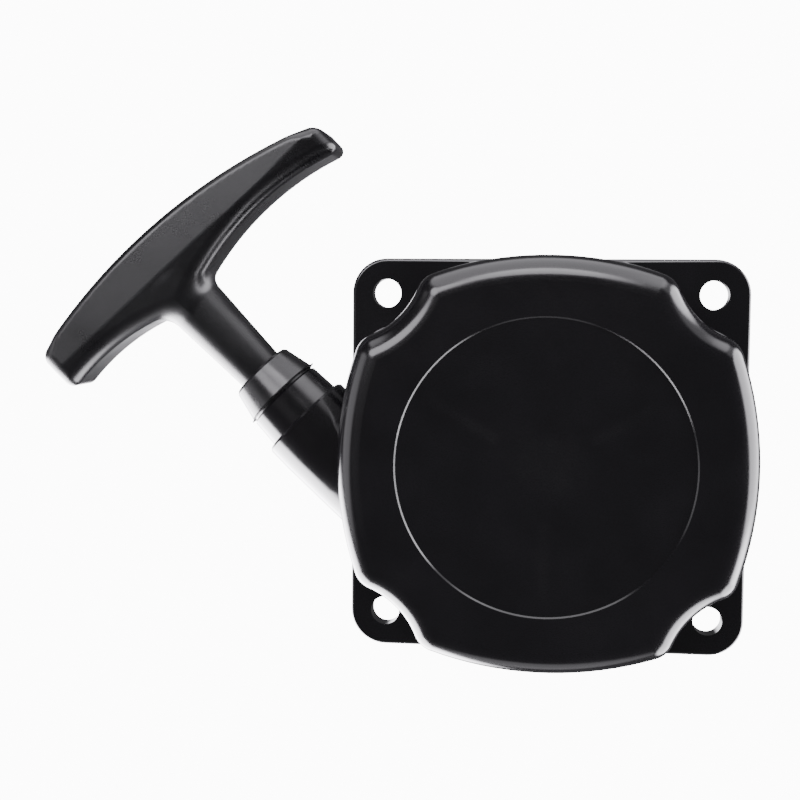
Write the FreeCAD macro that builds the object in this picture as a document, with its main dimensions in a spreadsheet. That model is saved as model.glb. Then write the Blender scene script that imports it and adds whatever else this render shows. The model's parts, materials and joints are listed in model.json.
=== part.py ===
import FreeCAD, Part
import math
import os
import Sketcher

# Recoil starter for a small two-stroke engine.
# The frame: origin at the centre of the flange's back face, on the reel's axis, +Z out of the dome.
# Inside, from the engine's side up: screw, washer, cam plate, pawls, rope reel, recoil spring.

Vector = FreeCAD.Vector
doc = FreeCAD.newDocument("recoil_starter")

# ---------------------------------------------------------------- driving dimensions, millimetres

DIMENSIONS = {
    # flange
    "flange_side": 102.2,
    "flange_thick": 5.0,
    "flange_corner": 9.0,
    "flange_edge": 0.9,
    "bolt_pitch": 84.0,
    "bolt_hole_radius": 3.75,
    # dome: four shallow side arcs, four hollow corners, rounded where they meet
    "dome_height": 31.5,
    "dome_half": 51.95,
    "dome_side_radius": 87.0,
    "dome_corner_centre": 51.5,
    "dome_corner_radius": 21.0,
    "dome_lobe_round": 7.0,
    "dome_draft": 0.9,
    "dome_edge": 6.4,
    "dome_wall": 2.8,
    "disc_radius": 36.7,
    "disc_depth": 0.4,
    "disc_slope": 0.35,
    "dome_foot": 0.8,
    # rope line: level, tangent to the outer turn of the rope, at 45 degrees to the flange's sides
    "rope_level": 13.0,
    "rope_offset": 36.8,
    "rope_radius": 1.75,
    "rope_pitch": 3.6,
    "rope_half_turns": 9,
    "rope_end_bend": 4.2,
    # neck and guide, measured along the rope from the tangent point
    "neck_root": 20.0,
    "neck_shoulder": 44.0,
    "neck_step": 51.1,
    "neck_end": 58.8,
    "neck_root_radius": 11.6,
    "neck_collar_radius": 12.45,
    "neck_tube_radius": 10.8,
    "neck_tip_radius": 10.3,
    "neck_bore_radius": 7.0,
    "neck_bore_floor": 46.3,
    "rope_hole_radius": 3.0,
    "guide_end": 67.4,
    "guide_rim_radius": 8.6,
    "guide_bore_radius": 2.3,
    "guide_mouth_radius": 7.2,
    "guide_mouth_depth": 2.5,
    # grip
    "stem_tip": 65.4,
    "stem_tip_radius": 6.1,
    "stem_root": 89.0,
    "stem_root_radius": 7.2,
    "stem_bore_radius": 2.2,
    "grip_half_depth": 9.7,
    "grip_ridge": 101.3,
    "grip_outer_slope": 4.0,
    "grip_inner_slope": 3.5,
    "grip_end_round": 3.2,
    "knot_pocket_radius": 5.6,
    "knot_pocket_floor": 92.0,
    "grip_knot_radius": 3.4,
    "reel_knot_radius": 3.1,
    "knot_washer_radius": 5.2,
    "knot_washer_thick": 1.0,
    # centre post and what sits on it
    "post_end": 4.2,
    "post_radius": 6.0,
    "post_foot_radius": 7.6,
    "insert_radius": 4.0,
    "insert_length": 12.0,
    "screw_radius": 2.45,
    "screw_hex": 4.62,
    "screw_flange_radius": 5.6,
    "washer_radius": 10.5,
    "washer_thick": 1.2,
    "cone_spring_radius": 9.8,
    "cone_spring_thick": 0.3,
    "running_gap": 0.05,
    # ratchet
    "cam_floor": 4.9,
    "cam_thick": 1.2,
    "cam_radius": 22.0,
    "cam_swing": 28.0,
    "pawl_floor": 6.3,
    "pawl_thick": 3.1,
    "pawl_pivot": 15.0,
    "pawl_pin_radius": 1.5,
    "pawl_boss_radius": 4.0,
    "pawl_length": 17.0,
    "pawl_rest_angle": -100.0,
    "pawl_swing": 35.0,
    "pawl_drive_arm": 7.0,
    "pawl_drive_radius": 1.2,
    "pawl_spring_radius": 2.9,
    "pawl_spring_wire": 0.35,
    "pawl_spring_pocket": 4.4,
    # reel
    "reel_floor": 9.7,
    "reel_flange": 1.2,
    "reel_groove": 4.2,
    "reel_radius": 42.5,
    "reel_hub_radius": 20.4,
    "reel_boss_radius": 10.5,
    "reel_boss_top": 26.2,
    "bush_radius": 8.0,
    "reel_windows": 6,
    "reel_window_radius": 4.6,
    "reel_window_circle": 30.5,
    "knot_slot_inner": 11.6,
    "knot_slot_outer": 22.0,
    "knot_slot_half": 3.6,
    "spring_nest_depth": 2.2,
    "pin_hole_depth": 5.0,
    # recoil spring and its case
    "cover_floor": 18.0,
    "cover_thick": 0.6,
    "case_radius": 32.0,
    "case_wall": 0.8,
    "case_roof": 27.5,
    "case_ear_circle": 36.5,
    "case_ear_radius": 4.0,
    "case_screw_radius": 1.25,
    "case_screw_head": 2.8,
    "case_screw_head_height": 1.2,
    "case_screw_length": 7.0,
    "case_boss_radius": 3.4,
    "spring_floor": 19.2,
    "spring_width": 7.0,
    "spring_strip": 0.5,
    "spring_outer": 28.4,
    "spring_pitch": 1.4,
    "spring_half_turns": 24,
    "spring_tab_end": 9.4,
    "hook_outer": 12.0,
    "hook_inner": 8.9,
    "hook_half_width": 0.6,
    "anchor_pin_radius": 1.2,
    # ribs inside the dome's roof
    "rib_width": 1.6,
    "rib_inner": 12.0,
    "gusset_inner": 44.0,
    "gusset_depth": 9.0,
}

sheet = doc.addObject("Spreadsheet::Sheet", "Dims")
for row, (alias, number) in enumerate(DIMENSIONS.items(), 1):
    sheet.set(f"A{row}", alias)
    sheet.set(f"B{row}", str(number))
    sheet.setAlias(f"B{row}", alias)
doc.recompute()


def size(expression):
    """The number that an expression over the sheet gives now."""
    return float(sheet.evalExpression(expression))


def dim(alias):
    return float(sheet.get(alias))


# ---------------------------------------------------------------- helpers

SUBPARTS = []


def subpart(feature, label):
    """Gives the feature the name under which it is written."""
    feature.Label = label
    SUBPARTS.append(feature)
    return feature


def new_body(label, on_rope_line=False):
    body = subpart(doc.addObject("PartDesign::Body", label), label)
    if on_rope_line:
        body.setExpression("Placement.Base.x", "-Dims.rope_offset * cos(45 deg)")
        body.setExpression("Placement.Base.y", "-Dims.rope_offset * sin(45 deg)")
        body.setExpression("Placement.Base.z", "Dims.rope_level")
        body.Placement = FreeCAD.Placement(body.Placement.Base, FreeCAD.Rotation(Vector(0, 0, 1), 45))
        doc.recompute()
    return body


def new_sketch(body, name, plane, level=None):
    """A sketch on one of the body's own planes, moved along its normal by the expression level."""
    sketch = body.newObject("Sketcher::SketchObject", name)
    origin_plane = next(item for item in body.Origin.OriginFeatures if item.Role == plane)
    sketch.AttachmentSupport = (origin_plane, [""])
    sketch.MapMode = "FlatFace"
    if level:
        sketch.setExpression("AttachmentOffset.Base.z", level)
    doc.recompute()
    return sketch


def fix_point(sketch, edge, end, x, y):
    """Dimensions one point of a sketch's edge from the sketch's origin."""
    for kind, expression in (("DistanceX", x), ("DistanceY", y)):
        index = sketch.addConstraint(Sketcher.Constraint(kind, -1, 1, edge, end, size(expression)))
        sketch.setExpression(f"Constraints[{index}]", expression)


def draw_polygon(sketch, points):
    """A closed outline of straight edges. Each point is a pair of expressions."""
    corners = [Vector(size(x), size(y), 0) for x, y in points]
    first = sketch.GeometryCount
    count = len(corners)
    for index, corner in enumerate(corners):
        sketch.addGeometry(Part.LineSegment(corner, corners[(index + 1) % count]), False)
    for index in range(count):
        following = (index + 1) % count
        sketch.addConstraint(Sketcher.Constraint("Coincident", first + index, 2, first + following, 1))
    for index, (x, y) in enumerate(points):
        fix_point(sketch, first + index, 1, x, y)


def draw_circle(sketch, x, y, radius):
    circle = Part.Circle(Vector(size(x), size(y), 0), Vector(0, 0, 1), size(radius))
    edge = sketch.addGeometry(circle, False)
    fix_point(sketch, edge, 3, x, y)
    index = sketch.addConstraint(Sketcher.Constraint("Radius", edge, size(radius)))
    sketch.setExpression(f"Constraints[{index}]", radius)


def revolve(body, name, points, plane="XZ_Plane", cut=False, on_rope_line=False):
    """Turns an outline about the upright axis of its sketch, as material or as a cut."""
    sketch = new_sketch(body, name + "_profile", plane)
    if on_rope_line:
        turn = FreeCAD.Rotation(Vector(0, 0, 1), 45)
        sketch.AttachmentOffset = FreeCAD.Placement(Vector(0, 0, 0), turn)
        sketch.setExpression("AttachmentOffset.Base.x", "-Dims.rope_offset * cos(45 deg)")
        sketch.setExpression("AttachmentOffset.Base.y", "-Dims.rope_offset * sin(45 deg)")
        sketch.setExpression("AttachmentOffset.Base.z", "Dims.rope_level")
    draw_polygon(sketch, points)
    feature = body.newObject("PartDesign::Groove" if cut else "PartDesign::Revolution", name)
    feature.Profile = sketch
    feature.ReferenceAxis = (sketch, ["V_Axis"])
    feature.Angle = 360
    doc.recompute()
    return feature


def pad(body, name, sketch, length, midplane=False, taper=None):
    feature = body.newObject("PartDesign::Pad", name)
    feature.Profile = sketch
    feature.setExpression("Length", length)
    feature.Midplane = midplane
    if taper:
        feature.setExpression("TaperAngle", taper)
    doc.recompute()
    return feature


def pocket(body, name, sketch, length, upward=True, taper=None, midplane=False):
    """Cuts a sketch's outline away and makes sure that something was cut."""
    before = body.Shape.Volume
    feature = body.newObject("PartDesign::Pocket", name)
    feature.Profile = sketch
    feature.Type = 0
    feature.setExpression("Length", length)
    feature.Reversed = upward
    feature.Midplane = midplane
    if taper:
        feature.setExpression("TaperAngle", taper)
    doc.recompute()
    if body.Shape.Volume >= before:
        raise RuntimeError(f"{name} cut nothing")
    return feature


def fillet(body, name, radius, chosen):
    """Rounds the edges of the body's last feature for which chosen(edge) is true."""
    base = body.Tip
    names = [f"Edge{i}" for i, edge in enumerate(base.Shape.Edges, 1) if chosen(edge)]
    feature = body.newObject("PartDesign::Fillet", name)
    feature.Base = (base, names)
    feature.setExpression("Radius", radius)
    doc.recompute()
    return feature


def polar_pattern(body, name, originals, count):
    pattern = body.newObject("PartDesign::PolarPattern", name)
    pattern.Originals = originals
    axis = next(item for item in body.Origin.OriginFeatures if item.Role == "Z_Axis")
    pattern.Axis = (axis, [""])
    pattern.Angle = 360
    if isinstance(count, str):
        pattern.setExpression("Occurrences", count)
    else:
        pattern.Occurrences = count
    body.Tip = pattern
    doc.recompute()
    return pattern


def turned(label, points, on_rope_line=False):
    """A sub-part that is one outline turned about the reel's axis or the rope's line."""
    body = new_body(label, on_rope_line)
    revolve(body, label + "_turned", points, plane="XY_Plane" if on_rope_line else "XZ_Plane")
    return body


def polar(radius, degrees, level=0.0):
    angle = math.radians(degrees)
    return Vector(radius * math.cos(angle), radius * math.sin(angle), level)


def set_shape(label, shape, placement=None):
    """A sub-part whose shape is worked out with Part's own functions."""
    feature = subpart(doc.addObject("Part::Feature", label), label)
    feature.Shape = shape
    feature.Placement = placement or FreeCAD.Placement()
    return feature


def is_upright(edge, tolerance=1e-3):
    if len(edge.Vertexes) < 2:
        return False
    start, end = edge.Vertexes[0].Point, edge.Vertexes[-1].Point
    return abs(start.x - end.x) < tolerance and abs(start.y - end.y) < tolerance


# ---------------------------------------------------------------- housing

def circles_meeting(centre_a, radius_a, centre_b, radius_b, towards):
    """Where two circles cross, on the side of the point towards."""
    span = centre_b - centre_a
    along = (span.Length ** 2 + radius_a ** 2 - radius_b ** 2) / (2 * span.Length)
    rise = math.sqrt(radius_a ** 2 - along ** 2)
    unit = span / span.Length
    side = Vector(-unit.y, unit.x, 0)
    options = [centre_a + unit * along + side * rise, centre_a + unit * along - side * rise]
    return min(options, key=lambda point: point.distanceToPoint(towards))


def arc_between(centre, start, end, clockwise=False):
    """The arc about centre from start to end, as Sketcher keeps it: counter-clockwise."""
    if clockwise:
        start, end = end, start
    first = math.atan2(start.y - centre.y, start.x - centre.x)
    last = math.atan2(end.y - centre.y, end.x - centre.x)
    circle = Part.Circle(centre, Vector(0, 0, 1), (start - centre).Length)
    return Part.ArcOfCircle(circle, first, last if last > first else last + 2 * math.pi)


def draw_dome_outline(sketch, inset):
    """Four side arcs and four hollow corners, joined by tangent rounds, moved inwards by inset."""
    side_radius = size(f"Dims.dome_side_radius - {inset}")
    side_centre = size("Dims.dome_half - Dims.dome_side_radius")
    hollow_radius = size(f"Dims.dome_corner_radius + {inset}")
    hollow_centre = size("Dims.dome_corner_centre")
    lobe_radius = size(f"Dims.dome_lobe_round - {inset}")
    arcs = []
    for quarter in range(4):
        turn = FreeCAD.Rotation(Vector(0, 0, 1), 90 * quarter)
        side = Vector(side_centre, 0, 0)
        hollow = Vector(hollow_centre, hollow_centre, 0)
        towards = Vector(44, 28, 0)
        lobe = circles_meeting(side, side_radius - lobe_radius, hollow, hollow_radius + lobe_radius, towards)
        on_side = side + (lobe - side).normalize() * side_radius
        on_hollow = lobe + (hollow - lobe).normalize() * lobe_radius
        mirrored = [Vector(p.y, p.x, 0) for p in (lobe, on_side, on_hollow)]
        lower_on_side = Vector(on_side.x, -on_side.y, 0)
        pieces = [
            ("side", side, lower_on_side, on_side, False),
            ("lobe", lobe, on_side, on_hollow, False),
            ("hollow", hollow, on_hollow, mirrored[2], True),
            ("lobe", mirrored[0], mirrored[2], mirrored[1], False),
        ]
        for kind, centre, start, end, clockwise in pieces:
            centre, start, end = (turn.multVec(point) for point in (centre, start, end))
            edge = sketch.addGeometry(arc_between(centre, start, end, clockwise), False)
            arcs.append((edge, kind, centre, clockwise))
    count = len(arcs)
    for index, (edge, kind, centre, clockwise) in enumerate(arcs):
        following, _, _, following_clockwise = arcs[(index + 1) % count]
        end = 1 if clockwise else 2
        start = 2 if following_clockwise else 1
        sketch.addConstraint(Sketcher.Constraint("Tangent", edge, end, following, start))
    radii = {
        "side": f"Dims.dome_side_radius - {inset}",
        "hollow": f"Dims.dome_corner_radius + {inset}",
        "lobe": f"Dims.dome_lobe_round - {inset}",
    }
    for edge, kind, centre, clockwise in arcs:
        index = sketch.addConstraint(Sketcher.Constraint("Radius", edge, size(radii[kind])))
        sketch.setExpression(f"Constraints[{index}]", radii[kind])
    for edge, kind, centre, clockwise in arcs:
        if kind == "side":
            reach = "Dims.dome_half - Dims.dome_side_radius"
            x = f"{round(centre.x / side_centre)} * ({reach})"
            y = f"{round(centre.y / side_centre)} * ({reach})"
            fix_point(sketch, edge, 3, x, y)
        if kind == "hollow":
            x = f"{int(math.copysign(1, centre.x))} * Dims.dome_corner_centre"
            y = f"{int(math.copysign(1, centre.y))} * Dims.dome_corner_centre"
            fix_point(sketch, edge, 3, x, y)
    doc.recompute()


def is_hollow_corner_foot(edge, level):
    """Whether an edge is where a hollow corner of the dome meets the flange."""
    box = edge.BoundBox
    flat = abs(box.ZMin - level) < 1e-3 and abs(box.ZMax - level) < 1e-3
    reach = max(abs(number) for number in (box.XMin, box.XMax, box.YMin, box.YMax))
    return flat and reach < size("Dims.flange_side / 2 - 1")


def make_housing():
    body = new_body("housing")

    plate = new_sketch(body, "flange_outline", "XY_Plane")
    half = "Dims.flange_side / 2"
    draw_polygon(plate, [(f"-{half}", f"-{half}"), (half, f"-{half}"), (half, half), (f"-{half}", half)])
    pad(body, "flange", plate, "Dims.flange_thick")
    fillet(body, "flange_corners", "Dims.flange_corner", is_upright)
    top = size("Dims.flange_thick")
    fillet(body, "flange_rim", "Dims.flange_edge", lambda edge: abs(edge.BoundBox.ZMin - top) < 1e-3)

    outline = new_sketch(body, "dome_outline", "XY_Plane")
    draw_dome_outline(outline, "0")
    pad(body, "dome", outline, "Dims.dome_height", taper="-Dims.dome_draft")
    roof = size("Dims.dome_height")
    fillet(body, "dome_rim", "Dims.dome_edge", lambda edge: abs(edge.BoundBox.ZMin - roof) < 1e-3)
    fillet(body, "dome_foot", "Dims.dome_foot", lambda edge: is_hollow_corner_foot(edge, top))

    revolve(body, "disc", [
        ("0", "Dims.dome_height - Dims.disc_depth"),
        ("Dims.disc_radius - Dims.disc_slope", "Dims.dome_height - Dims.disc_depth"),
        ("Dims.disc_radius", "Dims.dome_height"),
        ("Dims.disc_radius", "Dims.dome_height + 1"),
        ("0", "Dims.dome_height + 1"),
    ], cut=True)

    revolve(body, "neck", [
        ("0", "Dims.neck_root"),
        ("Dims.neck_root_radius", "Dims.neck_root"),
        ("Dims.neck_collar_radius", "Dims.neck_shoulder"),
        ("Dims.neck_collar_radius", "Dims.neck_step - 0.6"),
        ("Dims.neck_collar_radius - 0.6", "Dims.neck_step"),
        ("Dims.neck_tube_radius", "Dims.neck_step"),
        ("Dims.neck_tip_radius", "Dims.neck_end - 0.4"),
        ("Dims.neck_tip_radius - 0.4", "Dims.neck_end"),
        ("0", "Dims.neck_end"),
    ], plane="XY_Plane", on_rope_line=True)

    hollow = new_sketch(body, "cavity_outline", "XY_Plane")
    draw_dome_outline(hollow, "Dims.dome_wall")
    pocket(body, "cavity", hollow, "Dims.dome_height - Dims.dome_wall", taper="-Dims.dome_draft")

    revolve(body, "neck_bore", [
        ("0", "Dims.neck_root"),
        ("Dims.rope_hole_radius", "Dims.neck_root"),
        ("Dims.rope_hole_radius", "Dims.neck_bore_floor"),
        ("Dims.neck_bore_radius", "Dims.neck_bore_floor"),
        ("Dims.neck_bore_radius", "Dims.neck_end + 1"),
        ("0", "Dims.neck_end + 1"),
    ], plane="XY_Plane", cut=True, on_rope_line=True)

    bolts = new_sketch(body, "bolt_outline", "XY_Plane")
    near, far = "-Dims.bolt_pitch / 2", "Dims.bolt_pitch / 2"
    for x, y in ((near, near), (far, near), (far, far), (near, far)):
        draw_circle(bolts, x, y, "Dims.bolt_hole_radius")
    pocket(body, "bolt_holes", bolts, "Dims.flange_thick + 1")

    roof_inside = "Dims.dome_height - Dims.dome_wall"
    revolve(body, "post", [
        ("Dims.insert_radius", "Dims.post_end"),
        ("Dims.post_radius", "Dims.post_end"),
        ("Dims.post_radius", f"{roof_inside} - 2"),
        ("Dims.post_foot_radius", f"{roof_inside} + 0.5"),
        ("0", f"{roof_inside} + 0.5"),
        ("0", "Dims.post_end + Dims.insert_length + 1"),
        ("Dims.insert_radius", "Dims.post_end + Dims.insert_length + 1"),
    ])

    ear_top = "Dims.cover_floor + Dims.cover_thick + Dims.case_wall"
    screw_posts = new_sketch(body, "screw_post_outline", "XY_Plane", ear_top)
    draw_circle(screw_posts, "Dims.case_ear_circle", "0", "Dims.case_boss_radius")
    draw_circle(screw_posts, "Dims.case_ear_circle", "0", "Dims.case_screw_radius + Dims.running_gap")
    post_pad = pad(body, "screw_post", screw_posts, f"{roof_inside} - ({ear_top}) + 0.3")
    polar_pattern(body, "screw_posts", [post_pad], 3)

    ribs = new_sketch(body, "rib_outline", "XY_Plane", "Dims.case_roof + 0.1")
    side = "Dims.rib_width / 2"
    reach = "Dims.dome_half - Dims.dome_wall"
    draw_polygon(ribs, [
        (f"-{side}", f"-({reach})"), (side, f"-({reach})"),
        (side, "-Dims.rib_inner"), (f"-{side}", "-Dims.rib_inner"),
    ])
    rib_pad = pad(body, "rib", ribs, f"{roof_inside} - Dims.case_roof + 0.2")
    polar_pattern(body, "ribs", [rib_pad], 3)

    gussets = new_sketch(body, "gusset_outline", "XY_Plane", f"{roof_inside} - Dims.gusset_depth")
    draw_polygon(gussets, [
        ("Dims.gusset_inner", f"-{side}"), (f"{reach} + 0.6", f"-{side}"), (f"{reach} + 0.6", side),
        ("Dims.gusset_inner", side),
    ])
    gusset_pad = pad(body, "gusset", gussets, "Dims.gusset_depth + 0.3")
    polar_pattern(body, "gussets", [gusset_pad], 12)
    return body


make_housing()

turned("rope_guide", [
    ("Dims.guide_bore_radius + 0.8", "Dims.neck_bore_floor + 0.1"),
    ("Dims.neck_bore_radius - 0.03", "Dims.neck_bore_floor + 0.1"),
    ("Dims.neck_bore_radius - 0.03", "Dims.neck_end"),
    ("Dims.neck_tip_radius - 0.6", "Dims.neck_end"),
    ("Dims.neck_tip_radius - 0.6", "Dims.neck_end + 0.7"),
    ("Dims.neck_tip_radius - 0.1", "Dims.neck_end + 0.9"),
    ("Dims.guide_rim_radius", "Dims.guide_end - 0.6"),
    ("Dims.guide_rim_radius - 0.5", "Dims.guide_end"),
    ("Dims.guide_mouth_radius", "Dims.guide_end"),
    ("Dims.guide_mouth_radius - 0.5", "Dims.guide_end - Dims.guide_mouth_depth"),
    ("Dims.guide_bore_radius + 1", "Dims.guide_end - Dims.guide_mouth_depth"),
    ("Dims.guide_bore_radius", "Dims.guide_end - Dims.guide_mouth_depth - 1.5"),
    ("Dims.guide_bore_radius", "Dims.neck_bore_floor + 1.5"),
], on_rope_line=True)


# ---------------------------------------------------------------- grip

# The crescent's outline: (x across the rope's line, y along it). Each arc is start, middle, end.
OUTER_ARC = ((-38.0, 109.9), (7.4, 112.1), (55.1, 101.0))
LEFT_SCALLOP = ((-38.0, 97.7), (-20.0, 97.7), (-1.3, 91.5))
RIGHT_SCALLOP = ((-1.3, 91.5), (27.0, 96.9), (55.1, 91.6))


def make_grip():
    body = new_body("grip", on_rope_line=True)
    outline = new_sketch(body, "crescent_outline", "XY_Plane")
    ends = [LEFT_SCALLOP[0], LEFT_SCALLOP[2], RIGHT_SCALLOP[2], OUTER_ARC[2], OUTER_ARC[0]]
    arcs = {0: LEFT_SCALLOP, 1: RIGHT_SCALLOP, 3: OUTER_ARC[::-1]}
    for index, start in enumerate(ends):
        end = ends[(index + 1) % len(ends)]
        if index in arcs:
            middle = arcs[index][1]
            outline.addGeometry(Part.Arc(Vector(*start), Vector(*middle), Vector(*end)), False)
        else:
            outline.addGeometry(Part.LineSegment(Vector(*start), Vector(*end)), False)
    doc.recompute()
    pad(body, "crescent", outline, "2 * Dims.grip_half_depth + 2", midplane=True)
    fillet(body, "crescent_ends", "Dims.grip_end_round",
           lambda edge: is_upright(edge) and abs(edge.Vertexes[0].X) > 30)

    revolve(body, "stem", [
        ("0", "Dims.stem_tip"),
        ("Dims.stem_tip_radius - 0.5", "Dims.stem_tip"),
        ("Dims.stem_tip_radius", "Dims.stem_tip + 0.8"),
        ("Dims.stem_root_radius", "Dims.stem_root"),
        ("Dims.stem_root_radius + 0.8", "Dims.stem_root + 2.2"),
        ("Dims.stem_root_radius + 2.4", "Dims.stem_root + 4"),
        ("Dims.stem_root_radius + 4.4", "Dims.stem_root + 5.4"),
        ("0", "Dims.stem_root + 12"),
    ], plane="XY_Plane")

    # The mould opens along the stem, so both faces slope away from a ridge across the crescent.
    ridge, half = "Dims.grip_ridge", "Dims.grip_half_depth"
    outer_edge = f"({half} - 20 * tan(Dims.grip_outer_slope * 1 deg))"
    inner_edge = f"({half} - 20 * tan(Dims.grip_inner_slope * 1 deg))"
    for name, sign in (("front_slope", "1"), ("back_slope", "-1")):
        slope = new_sketch(body, name + "_outline", "YZ_Plane")
        draw_polygon(slope, [
            (ridge, f"{sign} * {half}"),
            (f"{ridge} + 20", f"{sign} * {outer_edge}"),
            (f"{ridge} + 20", f"{sign} * ({half} + 5)"),
            (f"{ridge} - 20", f"{sign} * ({half} + 5)"),
            (f"{ridge} - 20", f"{sign} * {inner_edge}"),
        ])
        pocket(body, name, slope, "200", midplane=True)

    revolve(body, "rope_bore", [
        ("0", "Dims.stem_tip - 1"),
        ("Dims.stem_bore_radius", "Dims.stem_tip - 1"),
        ("Dims.stem_bore_radius", "Dims.knot_pocket_floor"),
        ("Dims.knot_pocket_radius", "Dims.knot_pocket_floor"),
        ("Dims.knot_pocket_radius", "Dims.grip_ridge + 20"),
        ("0", "Dims.grip_ridge + 20"),
    ], plane="XY_Plane", cut=True)
    return body


make_grip()

turned("knot_washer", [
    ("Dims.rope_radius + Dims.running_gap", "Dims.knot_pocket_floor"),
    ("Dims.knot_washer_radius", "Dims.knot_pocket_floor"),
    ("Dims.knot_washer_radius", "Dims.knot_pocket_floor + Dims.knot_washer_thick"),
    ("Dims.rope_radius + Dims.running_gap", "Dims.knot_pocket_floor + Dims.knot_washer_thick"),
], on_rope_line=True)

turned("rope_run", [
    ("0", "0"),
    ("Dims.rope_radius", "0"),
    ("Dims.rope_radius", "Dims.knot_pocket_floor + Dims.knot_washer_thick + 0.2"),
    ("0", "Dims.knot_pocket_floor + Dims.knot_washer_thick + 0.2"),
], on_rope_line=True)


# ---------------------------------------------------------------- rope: knots and wound turns

def knot_at(label, centre, radius):
    knot = subpart(doc.addObject("Part::Sphere", label), label)
    knot.setExpression("Radius", radius)
    knot.Placement = FreeCAD.Placement(centre, FreeCAD.Rotation())
    return knot


def rope_point(along):
    """A point on the rope's straight line."""
    offset = dim("rope_offset")
    start = Vector(-offset * math.cos(math.pi / 4), -offset * math.cos(math.pi / 4), dim("rope_level"))
    return start + Vector(-1, 1, 0).normalize() * along


EXIT_ANGLE = 225.0
knot_start = dim("knot_pocket_floor") + dim("knot_washer_thick") + 0.2
knot_at("rope_grip_knot", rope_point(knot_start + dim("grip_knot_radius") - 0.2), "Dims.grip_knot_radius")


def spiral_arcs(outer, step, half_turns, start_angle, level, way=1):
    """Tangent half circles that wind inwards. way is 1 counter-clockwise and -1 clockwise."""
    arcs = []
    for index in range(half_turns):
        radius = outer - step * index
        shift = step if index % 2 else 0.0
        centre = polar(shift, start_angle + 180, level)
        angle = start_angle + 180 * index * way
        points = [centre + polar(radius, angle + way * part) for part in (0, 90, 180)]
        arcs.append(Part.Arc(*points))
    return arcs


def bend(start, heading, radius, degrees, normal=Vector(0, 0, 1)):
    """An arc that leaves start along heading and turns about normal. Returns it, its end and heading."""
    heading = Vector(heading).normalize()
    inwards = normal.cross(heading) * math.copysign(1, degrees)
    centre = start + inwards * radius
    points = []
    for part in (0.5, 1.0):
        turn = FreeCAD.Rotation(normal, degrees * part)
        points.append(centre + turn.multVec(start - centre))
    return Part.Arc(start, points[0], points[1]), points[1], turn.multVec(heading)


def tube(path, radius, start, heading):
    """A round tube along a list of lines and arcs that starts at start."""
    wire = Part.Wire([piece.toShape() for piece in path])
    section = Part.Wire([Part.Circle(start, heading, radius).toShape()])
    solid = wire.makePipeShell([section], True, False, 1)
    swept = math.pi * radius ** 2 * wire.Length
    if abs(solid.Volume / swept - 1) > 0.01:
        raise RuntimeError("a tube's volume is not its section times its length")
    return solid, wire.Length


def make_rope_coil():
    level = dim("rope_level")
    half_turns = int(dim("rope_half_turns"))
    arcs = spiral_arcs(dim("rope_offset"), dim("rope_pitch") / 2, half_turns, EXIT_ANGLE, level)
    inner_end = arcs[-1].EndPoint
    heading = Vector(-1, 1, 0)
    last_bend, end, heading = bend(inner_end, heading, dim("rope_end_bend"), 90)
    tail = Part.LineSegment(end, end + heading * 0.8)
    coil, length = tube(arcs + [last_bend, tail], dim("rope_radius"), arcs[0].StartPoint, Vector(-1, 1, 0))
    print("rope on the reel, mm:", round(length, 1))
    set_shape("rope_coil", coil)
    return tail.EndPoint + heading * math.sqrt(dim("reel_knot_radius") ** 2 - dim("rope_radius") ** 2)


REEL_KNOT = make_rope_coil()
knot_at("rope_reel_knot", REEL_KNOT, "Dims.reel_knot_radius")


# ---------------------------------------------------------------- reel

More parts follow.
